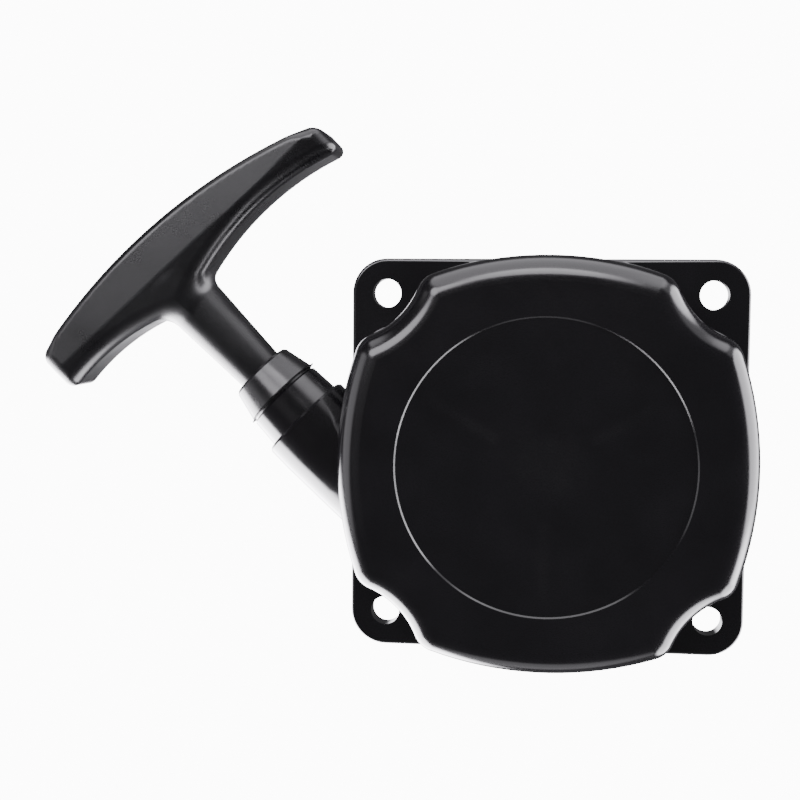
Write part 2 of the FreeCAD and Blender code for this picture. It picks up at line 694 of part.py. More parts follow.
def make_reel():
    body = new_body("reel")
    groove_floor = "Dims.reel_floor + Dims.reel_flange"
    groove_top = f"{groove_floor} + Dims.reel_groove"
    top = f"{groove_top} + Dims.reel_flange"
    revolve(body, "reel_turned", [
        ("Dims.bush_radius", "Dims.reel_floor"),
        ("Dims.reel_radius - 0.4", "Dims.reel_floor"),
        ("Dims.reel_radius", "Dims.reel_floor + 0.4"),
        ("Dims.reel_radius", f"{groove_floor} - 0.3"),
        ("Dims.reel_radius - 1.5", groove_floor),
        ("Dims.reel_hub_radius", groove_floor),
        ("Dims.reel_hub_radius", groove_top),
        ("Dims.reel_radius - 1.5", groove_top),
        ("Dims.reel_radius", f"{groove_top} + 0.3"),
        ("Dims.reel_radius", top),
        ("Dims.reel_boss_radius", top),
        ("Dims.reel_boss_radius", "Dims.reel_boss_top"),
        ("Dims.bush_radius", "Dims.reel_boss_top"),
    ])

    window = new_sketch(body, "window_outline", "XY_Plane", "Dims.reel_floor - 1")
    draw_circle(window, "Dims.reel_window_circle * cos(30 deg)", "Dims.reel_window_circle * sin(30 deg)",
                "Dims.reel_window_radius")
    window_cut = pocket(body, "window", window, "Dims.reel_flange + 1.2")
    polar_pattern(body, "windows", [window_cut], "Dims.reel_windows")

    knot_slot = new_sketch(body, "knot_slot_outline", "XY_Plane", "Dims.reel_floor - 1")
    knot_slot.AttachmentOffset = FreeCAD.Placement(knot_slot.AttachmentOffset.Base,
                                                   FreeCAD.Rotation(Vector(0, 0, 1), 45))
    bend_radius = "Dims.rope_end_bend"
    inner, outer, half = "Dims.knot_slot_inner", "Dims.knot_slot_outer", "Dims.knot_slot_half"
    draw_polygon(knot_slot, [
        (inner, f"{bend_radius} - {half}"), (outer, f"{bend_radius} - {half}"),
        (outer, f"{bend_radius} + {half}"), (inner, f"{bend_radius} + {half}"),
    ])
    pocket(body, "knot_slot", knot_slot, f"{top} - Dims.reel_floor + 2")

    for index, x in enumerate(("-Dims.pawl_pivot", "Dims.pawl_pivot"), 1):
        nest = new_sketch(body, f"spring_nest_{index}_outline", "XY_Plane", "Dims.reel_floor - 1")
        draw_circle(nest, x, "0", "Dims.pawl_spring_pocket")
        pocket(body, f"spring_nest_{index}", nest, "Dims.spring_nest_depth + 1")
        pin_hole = new_sketch(body, f"pin_hole_{index}_outline", "XY_Plane", "Dims.reel_floor - 1")
        draw_circle(pin_hole, x, "0", "Dims.pawl_pin_radius")
        pocket(body, f"pin_hole_{index}", pin_hole, "Dims.pin_hole_depth + 1")

    hook = new_sketch(body, "spring_hook_outline", "XY_Plane", "Dims.spring_floor - 0.4")
    side = "Dims.hook_half_width"
    draw_polygon(hook, [
        ("-Dims.hook_outer", f"-{side}"), ("-Dims.hook_inner", f"-{side}"),
        ("-Dims.hook_inner", side), ("-Dims.hook_outer", side),
    ])
    pocket(body, "spring_hook", hook, "20")
    return body


make_reel()

turned("reel_bush", [
    ("Dims.post_radius + Dims.running_gap", "Dims.reel_floor"),
    ("Dims.bush_radius", "Dims.reel_floor"),
    ("Dims.bush_radius", "Dims.reel_boss_top"),
    ("Dims.post_radius + Dims.running_gap", "Dims.reel_boss_top"),
])


# ---------------------------------------------------------------- recoil spring and its case

EAR_ANGLES = (0, 120, 240)


def with_ears(disc, floor, thick):
    """Adds three screw ears to a sheet-metal disc, and their holes."""
    circle, radius = dim("case_ear_circle"), dim("case_ear_radius")
    inner = dim("case_radius") - dim("case_wall") - 0.1
    keep_out = Part.makeCylinder(inner, 3 * thick, Vector(0, 0, floor - thick))
    for angle in EAR_ANGLES:
        centre = polar(circle, angle, floor)
        arm = Part.makeBox(circle, 2 * radius, thick, Vector(0, -radius, floor))
        arm.rotate(Vector(0, 0, 0), Vector(0, 0, 1), angle)
        ear = arm.fuse(Part.makeCylinder(radius, thick, centre)).cut(keep_out)
        disc = disc.fuse(ear)
    for angle in EAR_ANGLES:
        foot = polar(circle, angle, floor - 2 * thick)
        hole = Part.makeCylinder(dim("case_screw_radius") + 0.15, 4 * thick, foot)
        disc = disc.cut(hole)
    return disc.removeSplitter()


def ring(outer, inner, floor, thick):
    return Part.makeCylinder(outer, thick, Vector(0, 0, floor)).cut(
        Part.makeCylinder(inner, thick, Vector(0, 0, floor)))


def make_spring_case():
    wall, outer, roof = dim("case_wall"), dim("case_radius"), dim("case_roof")
    floor = dim("cover_floor") + dim("cover_thick")
    cup = ring(outer, outer - wall, floor, roof - floor)
    cup = cup.fuse(ring(outer, dim("post_foot_radius") + 0.6, roof - wall, wall))
    set_shape("spring_case", with_ears(cup, floor, wall))
    cover = ring(outer, dim("reel_boss_radius") + 0.6, dim("cover_floor"), dim("cover_thick"))
    set_shape("spring_cover", with_ears(cover, dim("cover_floor"), dim("cover_thick")))


make_spring_case()


def make_case_screws():
    head_height, reach = dim("case_screw_head_height"), dim("case_screw_length")
    floor = dim("cover_floor")
    screws = []
    for angle in EAR_ANGLES:
        foot = polar(dim("case_ear_circle"), angle, floor - head_height)
        head = Part.makeCylinder(dim("case_screw_head"), head_height, foot)
        head = head.makeFillet(0.5, [edge for edge in head.Edges if abs(edge.BoundBox.ZMax - foot.z) < 0.01])
        shank = Part.makeCylinder(dim("case_screw_radius"), reach, foot + Vector(0, 0, head_height))
        screws.append(head.fuse(shank).removeSplitter())
    set_shape("spring_case_screws", Part.makeCompound(screws))


make_case_screws()


def make_recoil_spring():
    """A flat strip wound counter-clockwise from the hub outwards, so that the pull winds it tighter."""
    half = dim("spring_strip") / 2
    step = dim("spring_pitch") / 2
    turns = int(dim("spring_half_turns"))
    outer = dim("spring_outer")
    floor = dim("spring_floor")
    start_angle = 180.0
    outside = spiral_arcs(outer + half, step, turns, start_angle, floor, way=-1)
    inside = spiral_arcs(outer - half, step, turns, start_angle, floor, way=-1)
    outer_cap = Part.LineSegment(inside[0].StartPoint, outside[0].StartPoint)
    outside_end, inside_end = outside[-1].EndPoint, inside[-1].EndPoint
    # the inner end is folded into the slit of the reel's boss
    tab_length = abs(outside_end.x) - dim("spring_tab_end")
    corner = Vector(min(outside_end.x, dim("spring_tab_end")), inside_end.y - half, floor)
    tab = Part.makeBox(tab_length, 2 * half, dim("spring_width"), corner)
    inner_cap = Part.LineSegment(inside_end, outside_end)
    edges = [outer_cap] + outside + [inner_cap] + inside
    wire = Part.Wire(Part.__sortEdges__([piece.toShape() for piece in edges]))
    strip = Part.Face(wire).extrude(Vector(0, 0, dim("spring_width")))
    set_shape("recoil_spring", strip.fuse(tab).removeSplitter())
    length = sum(piece.length() for piece in outside)
    print("recoil spring, mm:", round(length, 1))


make_recoil_spring()

anchor = subpart(doc.addObject("Part::Cylinder", "spring_anchor_pin"), "spring_anchor_pin")
anchor.setExpression("Radius", "Dims.anchor_pin_radius")
anchor.setExpression("Height", "Dims.case_roof - Dims.case_wall - Dims.cover_floor - Dims.cover_thick")
anchor_x = dim("case_wall") + dim("anchor_pin_radius") - dim("case_radius")
anchor_foot = Vector(anchor_x, 0, dim("cover_floor") + dim("cover_thick"))
anchor.Placement = FreeCAD.Placement(anchor_foot, FreeCAD.Rotation())


# ---------------------------------------------------------------- screw, washers, insert

turned("screw_insert", [
    ("Dims.screw_radius + Dims.running_gap", "Dims.post_end + 0.2"),
    ("Dims.insert_radius", "Dims.post_end + 0.2"),
    ("Dims.insert_radius", "Dims.post_end + Dims.insert_length"),
    ("Dims.screw_radius + Dims.running_gap", "Dims.post_end + Dims.insert_length"),
])

turned("thrust_washer", [
    ("Dims.screw_radius + 0.2", "Dims.post_end - Dims.washer_thick"),
    ("Dims.washer_radius - 0.3", "Dims.post_end - Dims.washer_thick"),
    ("Dims.washer_radius", "Dims.post_end - Dims.washer_thick + 0.3"),
    ("Dims.washer_radius", "Dims.post_end"),
    ("Dims.screw_radius + 0.2", "Dims.post_end"),
])

turned("friction_spring", [
    ("Dims.post_radius + 0.4", "Dims.post_end"),
    ("Dims.post_radius + 1.2", "Dims.post_end"),
    ("Dims.cone_spring_radius", "Dims.cam_floor - Dims.cone_spring_thick"),
    ("Dims.cone_spring_radius", "Dims.cam_floor - 0.02"),
    ("Dims.cone_spring_radius - 0.8", "Dims.cam_floor - 0.02"),
    ("Dims.post_radius + 0.4", "Dims.post_end + Dims.cone_spring_thick"),
])


def make_center_screw():
    body = new_body("center_screw")
    seat = "Dims.post_end - Dims.washer_thick"
    revolve(body, "screw_turned", [
        ("0", f"{seat} - 0.8"),
        ("Dims.screw_flange_radius", f"{seat} - 0.8"),
        ("Dims.screw_flange_radius", seat),
        ("Dims.screw_radius", seat),
        ("Dims.screw_radius", "Dims.post_end + Dims.insert_length - 0.5"),
        ("0", "Dims.post_end + Dims.insert_length - 0.5"),
    ])
    hexagon = new_sketch(body, "hexagon", "XY_Plane", f"{seat} - 2.5")
    corners = [(f"Dims.screw_hex * cos({60 * i} deg)", f"Dims.screw_hex * sin({60 * i} deg)") for i in range(6)]
    draw_polygon(hexagon, corners)
    pad(body, "screw_head", hexagon, "1.8")
    return body


make_center_screw()


# ---------------------------------------------------------------- ratchet

def drive_pin_in_plate(part):
    """Where a drive pin is in the cam plate's own frame, when its pawl has made a part of its swing."""
    angle = dim("pawl_rest_angle") + dim("pawl_swing") * part
    place = Vector(dim("pawl_pivot"), 0, 0) + polar(dim("pawl_drive_arm"), angle)
    return FreeCAD.Rotation(Vector(0, 0, 1), -dim("cam_swing") * part).multVec(place)


def make_cam_plate():
    """A disc with one curved slot for each pawl's drive pin."""
    floor, thick = dim("cam_floor"), dim("cam_thick")
    half_width = dim("pawl_drive_radius") + 0.15
    plate = ring(dim("cam_radius"), dim("post_radius") + dim("running_gap"), floor, thick)
    start, middle, end = (drive_pin_in_plate(part) for part in (0, 0.5, 1))
    path = Part.Arc(start, middle, end)
    centre = path.toShape().Curve.Center
    wide = Part.Face(Part.Wire(Part.__sortEdges__(slot_edges(path, centre, half_width))))
    slot = wide.extrude(Vector(0, 0, 3 * thick))
    slot.translate(Vector(0, 0, floor - thick))
    for turn in (0, 180):
        cutter = slot.copy()
        cutter.rotate(Vector(0, 0, 0), Vector(0, 0, 1), turn)
        plate = plate.cut(cutter)
    set_shape("cam_plate", plate)


def slot_edges(path, centre, half_width):
    """The outline of a slot of half_width on both sides of an arc, with round ends."""
    rails = []
    for offset in (half_width, -half_width):
        points = []
        for point in (path.StartPoint, path.value((path.FirstParameter + path.LastParameter) / 2), path.EndPoint):
            outward = (point - centre).normalize()
            points.append(point + outward * offset)
        rails.append(points)
    caps = []
    for index, tip, sign in ((0, path.StartPoint, -1), (2, path.EndPoint, 1)):
        tangent = path.tangent(path.FirstParameter if index == 0 else path.LastParameter)[0]
        caps.append(Part.Arc(rails[0][index], tip + tangent * half_width * sign, rails[1][index]))
    return [Part.Arc(*rails[0]).toShape(), Part.Arc(*rails[1]).toShape()] + [cap.toShape() for cap in caps]


make_cam_plate()


def make_pawl(number):
    """A flat pawl on its pivot, with the drive pin that runs in the cam plate's slot."""
    body = new_body(f"pawl_{number}")
    arm = new_sketch(body, "arm_outline", "XY_Plane", "Dims.pawl_floor")
    draw_polygon(arm, [
        ("0", "-2.8"), ("12", "-2.4"), ("16.2", "-1.6"), ("Dims.pawl_length", "1.2"),
        ("14", "3"), ("0", "3.8"),
    ])
    pad(body, "arm", arm, "Dims.pawl_thick")
    fillet(body, "arm_corners", "0.5", lambda edge: is_upright(edge) and edge.Vertexes[0].X > 10)
    boss = new_sketch(body, "boss_outline", "XY_Plane", "Dims.pawl_floor")
    draw_circle(boss, "0", "0", "Dims.pawl_boss_radius")
    pad(body, "boss", boss, "Dims.pawl_thick")
    drive = new_sketch(body, "drive_outline", "XY_Plane", "Dims.cam_floor - 0.3")
    draw_circle(drive, "Dims.pawl_drive_arm", "0", "Dims.pawl_drive_radius")
    pad(body, "drive_pin", drive, "Dims.pawl_floor - Dims.cam_floor + 1")
    bore = new_sketch(body, "bore_outline", "XY_Plane", "Dims.pawl_floor - 1")
    draw_circle(bore, "0", "0", "Dims.pawl_pin_radius + Dims.running_gap")
    pocket(body, "bore", bore, "Dims.pawl_thick + 2")
    spring_hole = new_sketch(body, "spring_hole_outline", "XY_Plane", "Dims.pawl_floor + 1")
    draw_circle(spring_hole, "-Dims.pawl_spring_radius", "0", "Dims.pawl_spring_wire + 0.15")
    pocket(body, "spring_hole", spring_hole, "Dims.pawl_thick")
    half_turn = 180 * (number - 1)
    turn = FreeCAD.Rotation(Vector(0, 0, 1), dim("pawl_rest_angle") + half_turn)
    body.Placement = FreeCAD.Placement(polar(dim("pawl_pivot"), half_turn), turn)
    return body


for pawl_number in (1, 2):
    make_pawl(pawl_number)


def make_pawl_pins():
    floor = dim("pawl_floor")
    pins = []
    for angle in (0, 180):
        foot = polar(dim("pawl_pivot"), angle, floor)
        pins.append(Part.makeCylinder(dim("pawl_pin_radius"), dim("reel_floor") + 4.9 - floor, foot))
    set_shape("pawl_pivot_pins", Part.makeCompound(pins))


make_pawl_pins()


def make_pawl_spring(number):
    """A wire in the pawl's own frame: up out of the pawl, most of a turn about its pivot, into the reel."""
    radius = dim("pawl_spring_radius")
    level = dim("reel_floor") + 0.9
    upturn = 0.6
    foot = Vector(-radius, 0, level - 2.2)
    knee = Vector(-radius, 0, level - upturn)
    pieces = [Part.LineSegment(foot, knee)]
    out_of_pawl, place, heading = bend(knee, Vector(0, 0, 1), upturn, 90, Vector(1, 0, 0))
    pieces.append(out_of_pawl)
    centre = place - Vector(-radius, 0, 0)
    way = 1 if heading.y < 0 else -1
    sweep = 270
    points = [centre + polar(radius, 180 + way * sweep * part) for part in (0, 0.5, 1)]
    pieces.append(Part.Arc(place, points[1], points[2]))
    along = polar(1, 180 + way * (sweep + 90))
    normal = along.cross(Vector(0, 0, 1))
    into_reel, end, _ = bend(points[2], along, upturn, 90, normal)
    pieces.append(into_reel)
    pieces.append(Part.LineSegment(end, end + Vector(0, 0, 1)))
    solid, length = tube(pieces, dim("pawl_spring_wire"), foot, Vector(0, 0, 1))
    half_turn = 180 * (number - 1)
    turn = FreeCAD.Rotation(Vector(0, 0, 1), dim("pawl_rest_angle") + half_turn)
    placement = FreeCAD.Placement(polar(dim("pawl_pivot"), half_turn), turn)
    set_shape(f"pawl_spring_{number}", solid, placement)


for spring_number in (1, 2):
    make_pawl_spring(spring_number)


# ---------------------------------------------------------------- check and write

doc.recompute()
for item in doc.Objects:
    if "Invalid" in item.State or "Error" in item.State:
        raise RuntimeError(f"{item.Label} failed: {item.State}")
for feature in SUBPARTS:
    if feature.Shape.isNull() or not feature.Shape.isValid():
        raise RuntimeError(f"{feature.Label} has no valid shape")

os.makedirs("parts", exist_ok=True)
for feature in SUBPARTS:
    feature.Shape.exportStep(f"parts/{feature.Label}.step")
    box = feature.Shape.BoundBox
    print(f"{feature.Label:20s} {feature.Shape.Volume:10.1f} mm3  z {box.ZMin:6.2f} to {box.ZMax:6.2f}"
          f"  solids {len(feature.Shape.Solids)}")
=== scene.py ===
import bpy
import bmesh
import json
import math
import random
import numpy as np
from mathutils import Matrix, Vector


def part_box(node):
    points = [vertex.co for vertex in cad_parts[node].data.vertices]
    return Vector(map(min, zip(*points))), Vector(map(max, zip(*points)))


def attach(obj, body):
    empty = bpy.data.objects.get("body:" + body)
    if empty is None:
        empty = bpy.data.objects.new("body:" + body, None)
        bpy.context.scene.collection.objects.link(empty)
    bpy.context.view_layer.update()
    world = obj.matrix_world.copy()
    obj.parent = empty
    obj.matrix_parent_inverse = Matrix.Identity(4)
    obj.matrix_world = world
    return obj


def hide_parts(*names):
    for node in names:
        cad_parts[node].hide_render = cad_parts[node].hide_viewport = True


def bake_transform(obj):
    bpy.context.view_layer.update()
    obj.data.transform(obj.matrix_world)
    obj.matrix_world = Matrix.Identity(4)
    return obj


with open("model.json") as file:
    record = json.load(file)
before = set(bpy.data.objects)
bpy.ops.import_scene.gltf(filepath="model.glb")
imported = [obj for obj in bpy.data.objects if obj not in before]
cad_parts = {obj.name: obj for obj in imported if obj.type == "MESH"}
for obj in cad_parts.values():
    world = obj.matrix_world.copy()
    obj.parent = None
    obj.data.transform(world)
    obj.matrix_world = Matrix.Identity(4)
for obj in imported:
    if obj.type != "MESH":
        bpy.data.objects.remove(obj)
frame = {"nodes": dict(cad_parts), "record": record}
NODES = frame["nodes"]
SCENE = bpy.context.scene
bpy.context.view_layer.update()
MM = 0.001

# ---------------------------------------------------------------- camera

CAMERA_LENS, CAMERA_SENSOR = 61.49, 36      # millimetres
CAMERA_TURNS = (4.313, -6.972, -0.921)      # degrees about X, then Y, then Z, from straight above
CAMERA_SHIFT = Vector((38.63, -14.28, -360.11)) * MM


def make_camera():
    about_x, about_y, about_z = (math.radians(angle) for angle in CAMERA_TURNS)
    turn = (
        Matrix.Rotation(about_z, 3, "Z")
        @ Matrix.Rotation(about_y, 3, "Y")
        @ Matrix.Rotation(about_x, 3, "X")
    )
    data = bpy.data.cameras.new("camera")
    data.lens = CAMERA_LENS
    data.sensor_width = CAMERA_SENSOR
    data.clip_start = 0.01
    camera = bpy.data.objects.new("camera", data)
    SCENE.collection.objects.link(camera)
    place = -(turn.transposed() @ CAMERA_SHIFT)
    camera.matrix_world = Matrix.Translation(place) @ turn.transposed().to_4x4()
    SCENE.camera = camera


make_camera()

# ---------------------------------------------------------------- light and floor

# Softboxes round the table: azimuth from +X, elevation, half width, soft edge (degrees), strength.
SOFTBOXES = [
    (225, -24, 24, 12, 34.0),
    (195, -64, 10, 14, 6.0),
    (135, 50, 14, 3, 9.0),
    (92, 46, 10, 6, 8.0),
    (90, 8, 30, 14, 3.2),
    (45, 12, 16, 14, 1.2),
    (5, -8, 26, 12, 11.0),
    (318, -8, 18, 12, 16.0),
    (180, 16, 12, 14, 2.0),
    (165, 58, 9, 16, 0.22),
    (270, 4, 12, 10, 1.5),
]
OVERHEAD, HORIZON = 0.16, 0.12
OVERHEAD_HEIGHT = 0.55          # the sine of the elevation where the overhead light is reached
STUDIO_TINT = (0.97, 0.95, 1.0, 1)
FLOOR_WHITE = 12.0
FLOOR_HALF_SIDE, FLOOR_DROP = 3.0, 0.0005


def make_world():
    """A dark room overhead, a pale band at table height, and soft boxes of light round the table."""
    world = bpy.data.worlds.new("studio")
    SCENE.world = world
    world.use_nodes = True
    nodes, links = world.node_tree.nodes, world.node_tree.links
    nodes.clear()
    output = nodes.new("ShaderNodeOutputWorld")
    background = nodes.new("ShaderNodeBackground")
    direction = nodes.new("ShaderNodeTexCoord").outputs["Generated"]

    def between(value, low, high, at_low, at_high):
        node = nodes.new("ShaderNodeMapRange")
        node.interpolation_type = "SMOOTHSTEP"
        links.new(value, node.inputs["Value"])
        numbers = {"From Min": low, "From Max": high, "To Min": at_low, "To Max": at_high}
        for socket, number in numbers.items():
            node.inputs[socket].default_value = number
        return node.outputs["Result"]

    split = nodes.new("ShaderNodeSeparateXYZ")
    links.new(direction, split.inputs[0])
    total = between(split.outputs["Z"], 0.0, OVERHEAD_HEIGHT, HORIZON, OVERHEAD)
    for azimuth, elevation, half_width, soft_edge, strength in SOFTBOXES:
        across, up = math.radians(azimuth), math.radians(elevation)
        facing = nodes.new("ShaderNodeVectorMath")
        facing.operation = "DOT_PRODUCT"
        facing.inputs[1].default_value = (
            math.cos(across) * math.cos(up),
            math.sin(across) * math.cos(up),
            math.sin(up),
        )
        links.new(direction, facing.inputs[0])
        outer = math.cos(math.radians(half_width + soft_edge))
        inner = math.cos(math.radians(half_width))
        glow = between(facing.outputs["Value"], outer, inner, 0.0, strength)
        adding = nodes.new("ShaderNodeMath")
        links.new(total, adding.inputs[0])
        links.new(glow, adding.inputs[1])
        total = adding.outputs[0]
    links.new(total, background.inputs["Strength"])
    background.inputs["Color"].default_value = STUDIO_TINT
    # what is seen past the table's edge is as white as the table
    backdrop = nodes.new("ShaderNodeBackground")
    backdrop.inputs["Strength"].default_value = FLOOR_WHITE
    either = nodes.new("ShaderNodeMixShader")
    links.new(nodes.new("ShaderNodeLightPath").outputs["Is Camera Ray"], either.inputs["Fac"])
    links.new(background.outputs[0], either.inputs[1])
    links.new(backdrop.outputs[0], either.inputs[2])
    links.new(either.outputs[0], output.inputs["Surface"])


def make_floor():
    """A plain white table top. It lights nothing, and from beneath it can be looked through."""
    mesh = bpy.data.meshes.new("floor")
    builder = bmesh.new()
    bmesh.ops.create_grid(builder, x_segments=1, y_segments=1, size=FLOOR_HALF_SIDE)
    builder.to_mesh(mesh)
    builder.free()
    floor = bpy.data.objects.new("floor", mesh)
    SCENE.collection.objects.link(floor)
    material = bpy.data.materials.new("floor_white")
    material.use_nodes = True
    nodes, links = material.node_tree.nodes, material.node_tree.links
    nodes.clear()
    white = nodes.new("ShaderNodeEmission")
    white.inputs["Strength"].default_value = FLOOR_WHITE
    clear = nodes.new("ShaderNodeBsdfTransparent")
    either = nodes.new("ShaderNodeMixShader")
    output = nodes.new("ShaderNodeOutputMaterial")
    links.new(nodes.new("ShaderNodeNewGeometry").outputs["Backfacing"], either.inputs["Fac"])
    links.new(white.outputs[0], either.inputs[1])
    links.new(clear.outputs[0], either.inputs[2])
    links.new(either.outputs[0], output.inputs["Surface"])
    mesh.materials.append(material)
    floor.location.z = -FLOOR_DROP
    floor.visible_glossy = False
    floor.visible_diffuse = False
    floor.visible_shadow = False


make_world()
make_floor()

# ---------------------------------------------------------------- materials

# Sink marks, in millimetres: the ribs and the post behind the roof, as distances from the reel's axis,
# a rib's full and faded half width, and the height between which the marks set in.
RIB_INNER, RIB_OUTER, RIB_END_FADE = 12.0, 29.0, 5.0
RIB_FULL, RIB_FADED = 0.6, 2.4
POST_FULL = 6.0
MARKS_FROM, MARKS_FULL = 29.5, 30.5
RIB_APART, FIRST_RIB = 120, 90              # degrees
MARK_ROUGHNESS = 0.07


class Shader:
    """A material with a Principled shader, and short calls for the textures that feed it."""

    def __init__(self, name, roughness, metallic=0.0, coat=0.0):
        self.material = bpy.data.materials.new(name)
        self.material.use_nodes = True
        self.tree = self.material.node_tree
        self.principled = self.tree.nodes["Principled BSDF"]
        self.principled.inputs["Roughness"].default_value = roughness
        self.principled.inputs["Metallic"].default_value = metallic
        self.principled.inputs["Coat Weight"].default_value = coat
        self.place = self.tree.nodes.new("ShaderNodeTexCoord").outputs["Object"]
        self.bumps = None

    def scaled(self, stretch):
        node = self.tree.nodes.new("ShaderNodeMapping")
        node.inputs["Scale"].default_value = stretch
        self.tree.links.new(self.place, node.inputs["Vector"])
        return node.outputs["Vector"]

    def noise(self, scale, detail=4.0, roughness=0.55, distortion=0.0, stretch=None):
        node = self.tree.nodes.new("ShaderNodeTexNoise")
        node.inputs["Scale"].default_value = scale
        node.inputs["Detail"].default_value = detail
        node.inputs["Roughness"].default_value = roughness
        node.inputs["Distortion"].default_value = distortion
        self.tree.links.new(self.scaled(stretch) if stretch else self.place, node.inputs["Vector"])
        return node.outputs["Fac"]

    def spread(self, value, low, high, start=0.35, end=0.65):
        """Maps a texture's value between start and end to low and high."""
        node = self.tree.nodes.new("ShaderNodeMapRange")
        self.tree.links.new(value, node.inputs["Value"])
        node.inputs["From Min"].default_value = start
        node.inputs["From Max"].default_value = end
        node.inputs["To Min"].default_value = low
        node.inputs["To Max"].default_value = high
        return node.outputs["Result"]

    def colours(self, value, stops):
        node = self.tree.nodes.new("ShaderNodeValToRGB")
        self.tree.links.new(value, node.inputs["Fac"])
        elements = node.color_ramp.elements
        while len(elements) < len(stops):
            elements.new(0.5)
        for element, (position, colour) in zip(elements, stops):
            element.position = position
            element.color = (*colour, 1)
        self.tree.links.new(node.outputs["Color"], self.principled.inputs["Base Color"])

    def roughness(self, value):
        self.tree.links.new(value, self.principled.inputs["Roughness"])

    def bump(self, height, strength, distance):
        node = self.tree.nodes.new("ShaderNodeBump")
        node.inputs["Strength"].default_value = strength
        node.inputs["Distance"].default_value = distance
        self.tree.links.new(height, node.inputs["Height"])
        if self.bumps:
            self.tree.links.new(self.bumps, node.inputs["Normal"])
        self.bumps = node.outputs["Normal"]
        self.tree.links.new(self.bumps, self.principled.inputs["Normal"])


def sink_marks(shader):
    """1 over the ribs and the post behind the roof, where plastic sinks as it cools, and 0 elsewhere."""

    def math_node(operation, first, second=0.0):
        node = shader.tree.nodes.new("ShaderNodeMath")
        node.operation = operation
        for socket, value in zip(node.inputs, (first, second)):
            if isinstance(value, float):
                socket.default_value = value
            else:
                shader.tree.links.new(value, socket)
        return node.outputs[0]

    split = shader.tree.nodes.new("ShaderNodeSeparateXYZ")
    shader.tree.links.new(shader.place, split.inputs[0])
    x, y, z = (split.outputs[axis] for axis in "XYZ")
    square = math_node("ADD", math_node("MULTIPLY", x, x), math_node("MULTIPLY", y, y))
    radius = math_node("SQRT", square)
    turn = math_node("ADD", math_node("ARCTAN2", y, x), math.radians(FIRST_RIB + RIB_APART / 2 + 360))
    since_rib = math_node("MODULO", turn, math.radians(RIB_APART))
    off_rib = math_node("SUBTRACT", since_rib, math.radians(RIB_APART / 2))
    aside = math_node("ABSOLUTE", math_node("MULTIPLY", radius, math_node("SINE", off_rib)))
    beyond = shader.spread(radius, 0.0, 1.0, RIB_INNER * MM, (RIB_INNER + 2) * MM)
    rib = math_node("MULTIPLY", shader.spread(aside, 1.0, 0.0, RIB_FULL * MM, RIB_FADED * MM), beyond)
    before_end = shader.spread(radius, 1.0, 0.0, RIB_OUTER * MM, (RIB_OUTER + RIB_END_FADE) * MM)
    rib = math_node("MULTIPLY", rib, before_end)
    post = shader.spread(radius, 1.0, 0.0, POST_FULL * MM, (RIB_INNER + 1) * MM)
    marks = math_node("MAXIMUM", rib, post)
    return math_node("MULTIPLY", marks, shader.spread(z, 0.0, 1.0, MARKS_FROM * MM, MARKS_FULL * MM))


def glossy_black():
    """Moulded cover plastic: slow waviness, sink marks over the ribs and handling haze."""
    shader = Shader("glossy_black", 0.22, coat=0.15)
    dark, light = (0.0024, 0.0022, 0.0028), (0.0042, 0.0039, 0.0047)
    shader.colours(shader.noise(60, 5), [(0.3, dark), (0.7, light)])
    haze = shader.noise(34, 6, 0.6, distortion=0.6)
    marks = sink_marks(shader)
    rough = shader.tree.nodes.new("ShaderNodeMath")
    rough.operation = "MULTIPLY_ADD"
    rough.inputs[1].default_value = MARK_ROUGHNESS
    shader.tree.links.new(marks, rough.inputs[0])
    shader.tree.links.new(shader.spread(haze, 0.13, 0.21), rough.inputs[2])
    shader.roughness(rough.outputs[0])
    shader.bump(marks, 0.2, 0.00004)
    shader.bump(shader.noise(16, 2), 0.12, 0.0004)
    shader.bump(shader.noise(900, 3), 0.05, 0.0001)
    return shader.material


def satin_black():
    """Grip plastic with a fine eroded texture."""
    shader = Shader("satin_black", 0.3)
    dark, light = (0.0020, 0.0019, 0.0024), (0.0036, 0.0034, 0.0041)
    shader.colours(shader.noise(80, 5), [(0.3, dark), (0.7, light)])
    shader.roughness(shader.spread(shader.noise(45, 6, 0.6), 0.25, 0.36))
    shader.bump(shader.noise(22, 2), 0.2, 0.0005)
    shader.bump(shader.noise(2600, 2), 0.10, 0.0001)
    return shader.material


def guide_black():
    """Wear-resistant guide plastic, a little greyer than the cover."""
    shader = Shader("guide_black", 0.26)
    shader.colours(shader.noise(70, 5), [(0.3, (0.0032, 0.0031, 0.0036)), (0.7, (0.006, 0.0057, 0.0064))])
    shader.roughness(shader.spread(shader.noise(60, 6, 0.6), 0.2, 0.36))
    shader.bump(shader.noise(1200, 3), 0.08, 0.0001)
    return shader.material


def natural_nylon():
    """Milky reel plastic with faint flow lines."""
    shader = Shader("natural_nylon", 0.42)
    shader.principled.inputs["Subsurface Weight"].default_value = 0.15
    shader.principled.inputs["Subsurface Scale"].default_value = 0.002
    dark, light = (0.25, 0.235, 0.19), (0.30, 0.285, 0.235)
    shader.colours(shader.noise(30, 5, distortion=1.0), [(0.3, dark), (0.7, light)])
    shader.roughness(shader.spread(shader.noise(90, 5), 0.36, 0.5))
    shader.bump(shader.noise(700, 3), 0.08, 0.0001)
    return shader.material


def brushed(name, dark, light, roughness, scratch=0.08):
    """Metal with fine rolling marks, which vary in colour, roughness and height."""
    shader = Shader(name, roughness, metallic=1.0)
    rolled = shader.noise(700, 6, stretch=(1, 9, 1))
    shader.colours(rolled, [(0.25, dark), (0.75, light)])
    shader.roughness(shader.spread(shader.noise(420, 5), roughness - 0.05, roughness + 0.08))
    shader.bump(shader.noise(900, 3, stretch=(1, 14, 1)), scratch, 0.0001)
    return shader.material


